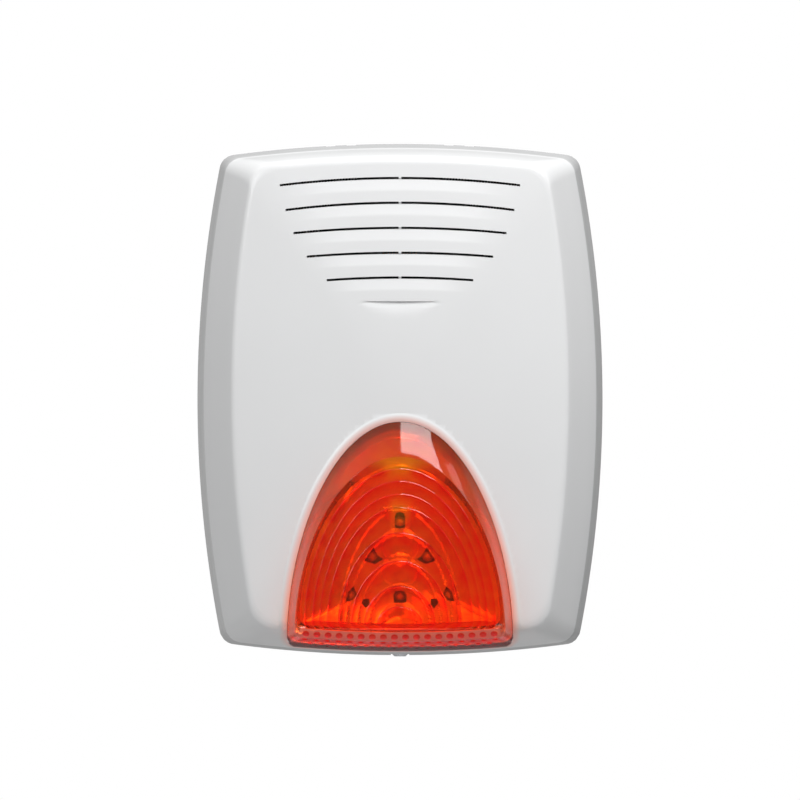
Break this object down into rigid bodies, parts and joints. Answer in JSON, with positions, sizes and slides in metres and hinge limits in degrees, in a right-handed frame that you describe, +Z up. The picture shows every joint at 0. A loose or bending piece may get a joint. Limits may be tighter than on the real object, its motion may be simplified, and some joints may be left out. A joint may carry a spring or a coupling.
{
  "type": "alarm siren",
  "caption": "Wall-mounted outdoor alarm siren with a bow-sided white cover, curved sound slots, a red arched flasher lens, and its horn, battery and boards inside.",
  "frame": {"origin": "middle of the wall box's flat back face, on the wall", "axes": "+Y into the wall, so the front faces -Y; +Z up; +X to the right seen from the front"},
  "size_m": [0.206, 0.089, 0.2604],
  "materials": {
    "cover_plastic": "smooth gloss white moulded plastic, lightly polished",
    "box_plastic": "fine satin white moulded plastic",
    "lens_plastic": "clear red gloss polycarbonate with moulded steps",
    "reflector_plating": "vacuum-metallised bright plastic",
    "seal_rubber": "soft matt black rubber",
    "screen_plastic": "matt black moulded screen",
    "horn_plastic": "matt black moulded plastic",
    "driver_metal": "zinc-plated steel",
    "diaphragm_film": "amber phenolic film",
    "screw_steel": "zinc-plated steel",
    "strap_steel": "galvanised steel strip",
    "terminal_tin": "tinned metal",
    "board_laminate": "green solder-masked board",
    "connector_plastic": "grey moulded nylon",
    "component_black": "matt black moulded resin",
    "battery_case": "satin dark grey ABS",
    "led_resin": "clear warm-tinted epoxy",
    "plunger_plastic": "white acetal",
    "lead_red": "red PVC sheath",
    "lead_black": "black PVC sheath",
    "lead_grey": "grey PVC sheath"
  },
  "bodies": {
    "wall_box": {"back_box": "box_plastic", "reflector": "reflector_plating", "cable_grommet": "seal_rubber", "horn_flare": "horn_plastic", "driver_housing": "driver_metal", "driver_magnet": "driver_metal", "driver_diaphragm": "diaphragm_film", "hinge_pin_left": "screw_steel", "hinge_pin_right": "screw_steel", "horn_screw_1": "screw_steel", "horn_screw_2": "screw_steel", "horn_screw_3": "screw_steel", "board_screw_1": "screw_steel", "board_screw_2": "screw_steel", "board_screw_3": "screw_steel", "board_screw_4": "screw_steel", "led_board_screw_1": "screw_steel", "led_board_screw_2": "screw_steel", "led_board_screw_3": "screw_steel", "reflector_screw_1": "screw_steel", "reflector_screw_2": "screw_steel", "strap_screw_1": "screw_steel", "strap_screw_2": "screw_steel", "battery_strap": "strap_steel", "battery_tab_minus": "terminal_tin", "battery_tab_plus": "terminal_tin", "main_board": "board_laminate", "led_board": "board_laminate", "terminal_block": "connector_plastic", "battery_connector": "connector_plastic", "flasher_connector": "connector_plastic", "audio_transformer": "component_black", "siren_relay": "component_black", "controller_chip": "component_black", "reservoir_capacitor": "component_black", "cover_tamper_switch": "component_black", "wall_tamper_switch": "component_black", "battery": "battery_case", "led_1": "led_resin", "led_2": "led_resin", "led_3": "led_resin", "led_4": "led_resin", "led_5": "led_resin", "led_6": "led_resin", "battery_lead_red": "lead_red", "battery_lead_black": "lead_black", "flasher_lead": "lead_grey", "driver_lead": "lead_grey"},
    "cover": {"front_cover": "cover_plastic", "flasher_lens": "lens_plastic", "lens_seal": "seal_rubber", "slot_screen": "screen_plastic", "lens_screw_1": "screw_steel", "lens_screw_2": "screw_steel", "lens_screw_3": "screw_steel", "lens_screw_4": "screw_steel"},
    "cover_screw": {"cover_screw": "screw_steel"},
    "cover_tamper_plunger": {"cover_tamper_plunger": "plunger_plastic"},
    "wall_tamper_plunger": {"wall_tamper_plunger": "plunger_plastic"}
  },
  "joints": [
    {"name": "cover_hinge", "type": "hinge", "parent": "wall_box", "child": "cover", "pos_m": [0, -0.0045, 0.1263], "axis": [-1, 0, 0], "range_deg": [0, 85]},
    {"name": "cover_screw_slide", "type": "slide", "parent": "wall_box", "child": "cover_screw", "axis": [0, 0, -1], "range_m": [0, 0.008]},
    {"name": "cover_tamper_press", "type": "slide", "parent": "wall_box", "child": "cover_tamper_plunger", "axis": [0, 1, 0], "range_m": [0, 0.0025], "stiffness_N_per_m": 80},
    {"name": "wall_tamper_release", "type": "slide", "parent": "wall_box", "child": "wall_tamper_plunger", "axis": [0, 1, 0], "range_m": [0, 0.003], "stiffness_N_per_m": 80}
  ]
}
